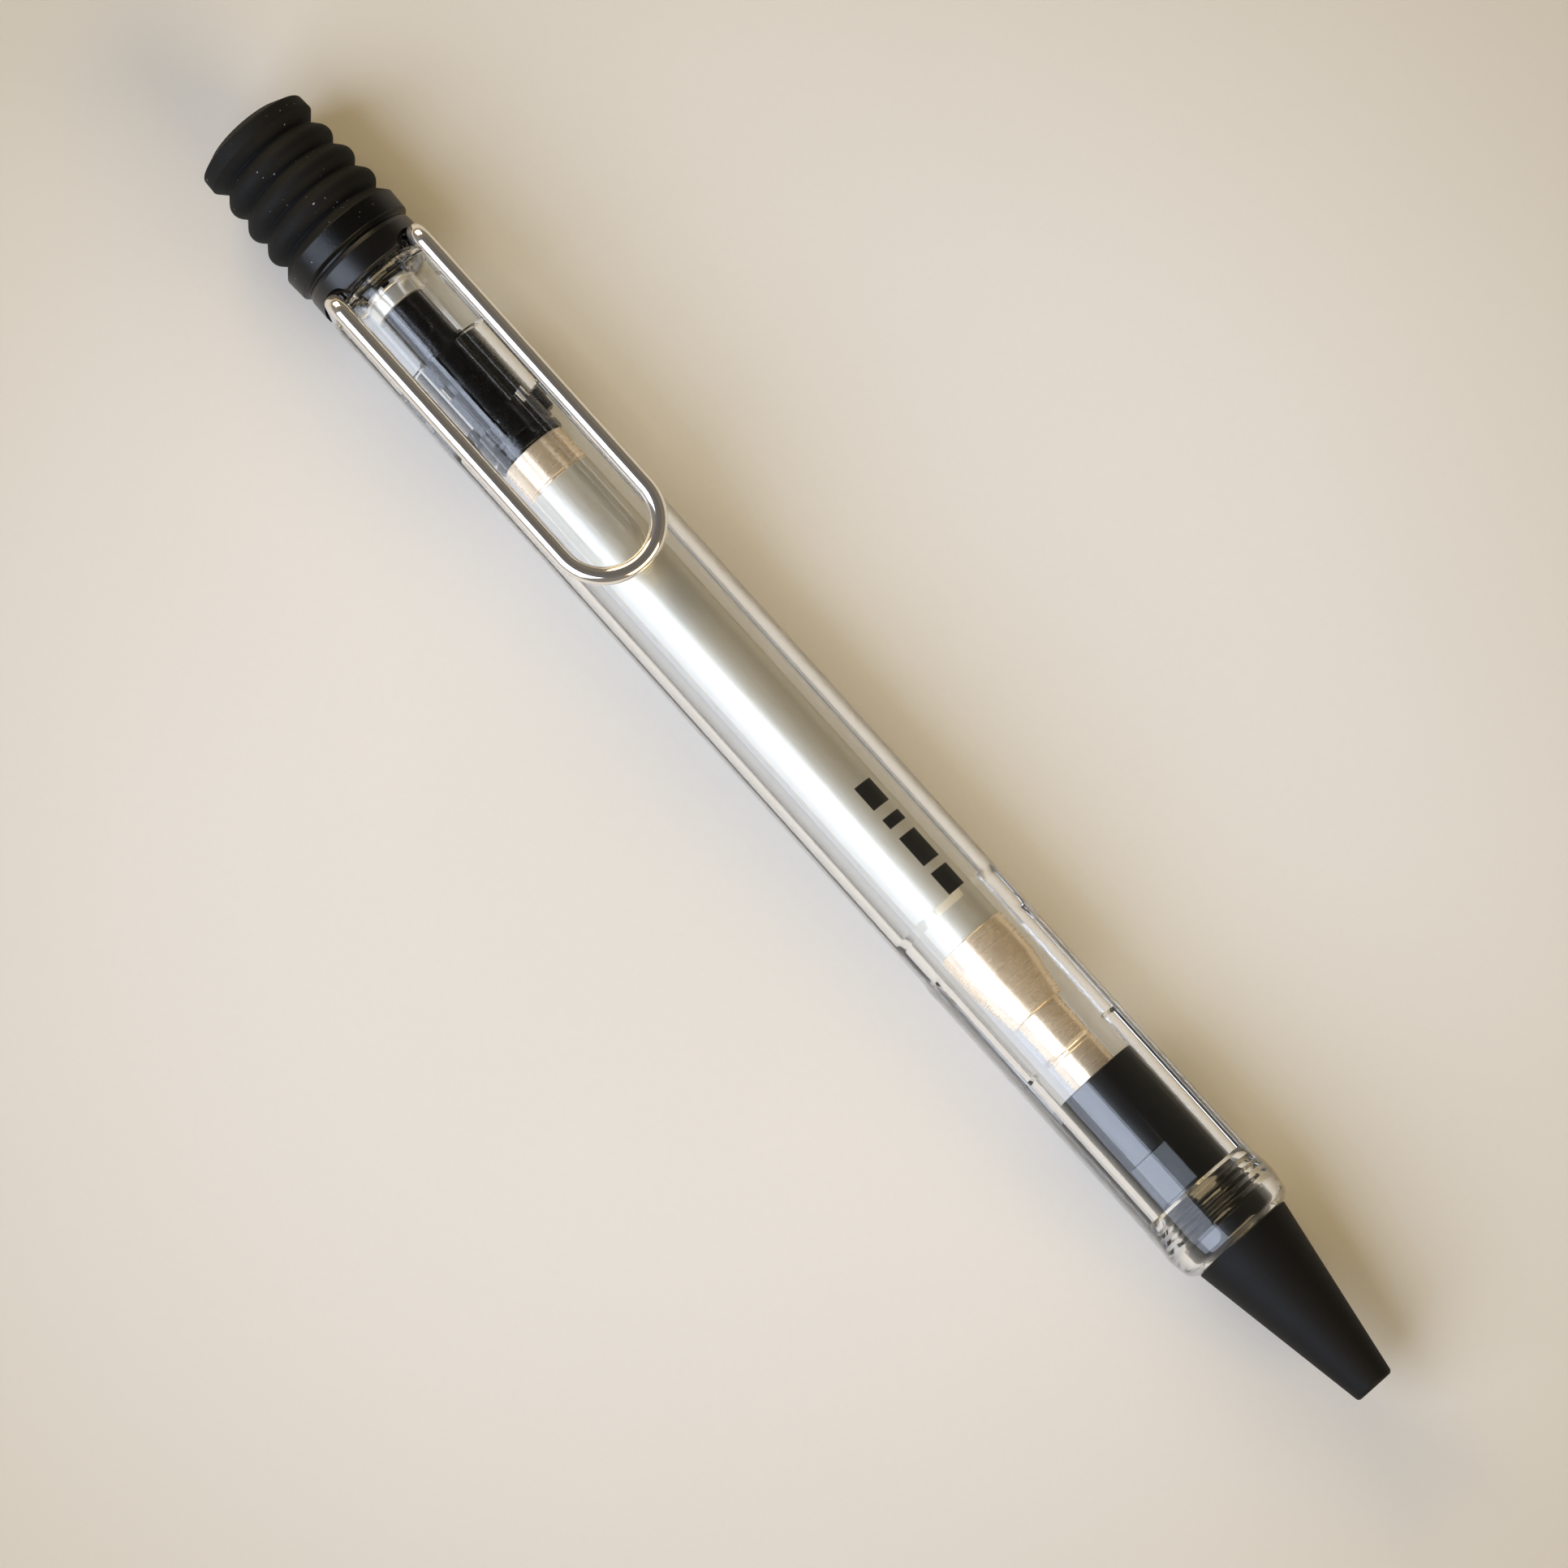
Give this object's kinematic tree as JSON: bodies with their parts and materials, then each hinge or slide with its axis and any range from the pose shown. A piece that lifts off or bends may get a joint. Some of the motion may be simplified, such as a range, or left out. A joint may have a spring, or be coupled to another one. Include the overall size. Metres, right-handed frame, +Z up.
{
  "type": "click ballpoint pen",
  "caption": "Click pen with a clear barrel, ribbed rubber button, sprung wire clip, metal refill and a black screw-in nose cone.",
  "frame": {"origin": "on the surface the pen lies on, under the middle of its length", "axes": "+X along the pen from the button to the writing tip, +Z up through the clip"},
  "size_m": [0.1372, 0.0112, 0.0132],
  "materials": {
    "clear_barrel": "polished clear plastic",
    "black_plastic": "fine satin texture",
    "black_rubber": "matte moulded rubber",
    "chrome_wire": "polished",
    "bright_ring": "bright turned metal",
    "refill_metal": "satin drawn tube",
    "refill_brass": "satin turned brass",
    "ink": "ink paste",
    "point_steel": "turned steel",
    "ball_carbide": "ground ball",
    "spring_steel": "drawn wire"
  },
  "bodies": {
    "root": {"barrel": "clear_barrel", "collar": "black_plastic", "bellows": "black_rubber"},
    "clip": {"clip": "chrome_wire"},
    "button": {"button_core": "black_plastic", "stop_ring": "bright_ring", "plunger": "black_plastic"},
    "rotor": {"rotor": "black_plastic"},
    "refill": {"refill_rear_cap": "refill_brass", "refill_tube": "refill_metal", "ink_column": "ink", "refill_front": "refill_brass", "tip_socket": "point_steel"},
    "ball": {"tip_ball": "ball_carbide"},
    "spring": {"return_spring": "spring_steel"},
    "nose": {"nose_cone": "black_plastic"}
  },
  "joints": [
    {"name": "button_press", "type": "slide", "parent": "root", "child": "button", "axis": [1, 0, 0], "range_m": [0, 0.005], "stiffness_N_per_m": 400, "deforming": ["bellows"]},
    {"name": "rotor_slide", "type": "slide", "parent": "root", "child": "rotor", "axis": [1, 0, 0], "range_m": [0, 0.005]},
    {"name": "refill_slide", "type": "slide", "parent": "root", "child": "refill", "axis": [1, 0, 0], "range_m": [0, 0.005], "stiffness_N_per_m": 300, "deforming": ["return_spring"]},
    {"name": "ball_roll", "type": "hinge", "parent": "refill", "child": "ball", "pos_m": [0.06652, 0, 0.00569], "axis": [0, 1, 0], "continuous": true},
    {"name": "clip_flex", "type": "hinge", "parent": "root", "child": "clip", "pos_m": [-0.05189, 0, 0.0065], "axis": [0, -1, 0], "range_deg": [0, 4], "stiffness_Nm_per_rad": 3},
    {"name": "nose_draw", "type": "slide", "parent": "root", "child": "spring", "axis": [1, 0, 0], "range_m": [0, 0.0028]},
    {"name": "nose_unscrew", "type": "hinge", "parent": "spring", "child": "nose", "pos_m": [0.06, 0, 0.00569], "axis": [1, 0, 0], "range_deg": [0, 1440]}
  ],
  "couplings": [
    {"joint": "rotor_slide", "follows": "button_press", "ratio": 1},
    {"joint": "refill_slide", "follows": "button_press", "ratio": 1},
    {"joint": "nose_unscrew", "follows": "nose_draw", "rad_per_m": 8976}
  ]
}
